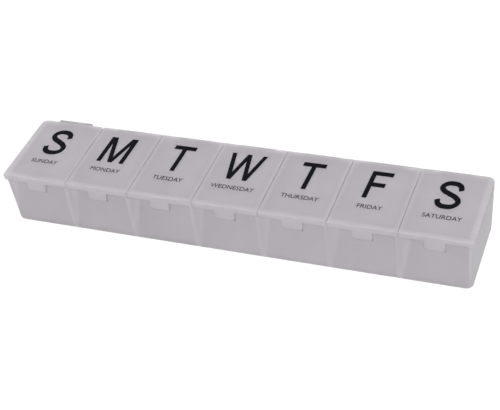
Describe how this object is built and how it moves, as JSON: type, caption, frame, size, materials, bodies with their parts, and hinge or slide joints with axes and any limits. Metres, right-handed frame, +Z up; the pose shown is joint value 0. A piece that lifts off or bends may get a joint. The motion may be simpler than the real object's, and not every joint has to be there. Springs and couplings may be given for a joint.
{
  "type": "pill organizer",
  "caption": "Long translucent plastic box with a row of cells, one for each day of the week, under flat snap-over lids on living hinges with front thumb tabs.",
  "frame": {"origin": "middle of the object's bounding box, at the underside that it stands on", "axes": "+X along the row of cells from the Sunday cell to the Saturday cell, +Y from the thumb tabs to the hinges, +Z up"},
  "size_m": [0.1714, 0.0352, 0.0216],
  "materials": {
    "tray_plastic": "natural translucent polypropylene, satin",
    "lid_plastic": "natural translucent polypropylene, fine satin grain",
    "hinge_plastic": "natural translucent polypropylene, thin and stress whitened"
  },
  "bodies": {
    "tray": {"tray": "tray_plastic", "hinge_sunday": "hinge_plastic", "hinge_monday": "hinge_plastic", "hinge_tuesday": "hinge_plastic", "hinge_wednesday": "hinge_plastic", "hinge_thursday": "hinge_plastic", "hinge_friday": "hinge_plastic", "hinge_saturday": "hinge_plastic"},
    "sunday": {"lid_sunday": "lid_plastic"},
    "monday": {"lid_monday": "lid_plastic"},
    "tuesday": {"lid_tuesday": "lid_plastic"},
    "wednesday": {"lid_wednesday": "lid_plastic"},
    "thursday": {"lid_thursday": "lid_plastic"},
    "friday": {"lid_friday": "lid_plastic"},
    "saturday": {"lid_saturday": "lid_plastic"}
  },
  "joints": [
    {"name": "sunday_hinge", "type": "hinge", "parent": "tray", "child": "sunday", "pos_m": [-0.07266, 0.01743, 0.0207], "axis": [-1, 0, 0], "range_deg": [0, 175], "deforming": ["hinge_sunday"]},
    {"name": "monday_hinge", "type": "hinge", "parent": "tray", "child": "monday", "pos_m": [-0.04844, 0.01743, 0.0198], "axis": [-1, 0, 0], "range_deg": [0, 175], "deforming": ["hinge_monday"]},
    {"name": "tuesday_hinge", "type": "hinge", "parent": "tray", "child": "tuesday", "pos_m": [-0.02422, 0.01743, 0.0198], "axis": [-1, 0, 0], "range_deg": [0, 175], "deforming": ["hinge_tuesday"]},
    {"name": "wednesday_hinge", "type": "hinge", "parent": "tray", "child": "wednesday", "pos_m": [0, 0.01743, 0.0198], "axis": [-1, 0, 0], "range_deg": [0, 175], "deforming": ["hinge_wednesday"]},
    {"name": "thursday_hinge", "type": "hinge", "parent": "tray", "child": "thursday", "pos_m": [0.02422, 0.01743, 0.0198], "axis": [-1, 0, 0], "range_deg": [0, 175], "deforming": ["hinge_thursday"]},
    {"name": "friday_hinge", "type": "hinge", "parent": "tray", "child": "friday", "pos_m": [0.04844, 0.01743, 0.0198], "axis": [-1, 0, 0], "range_deg": [0, 175], "deforming": ["hinge_friday"]},
    {"name": "saturday_hinge", "type": "hinge", "parent": "tray", "child": "saturday", "pos_m": [0.07266, 0.01743, 0.0198], "axis": [-1, 0, 0], "range_deg": [0, 175], "deforming": ["hinge_saturday"]}
  ]
}
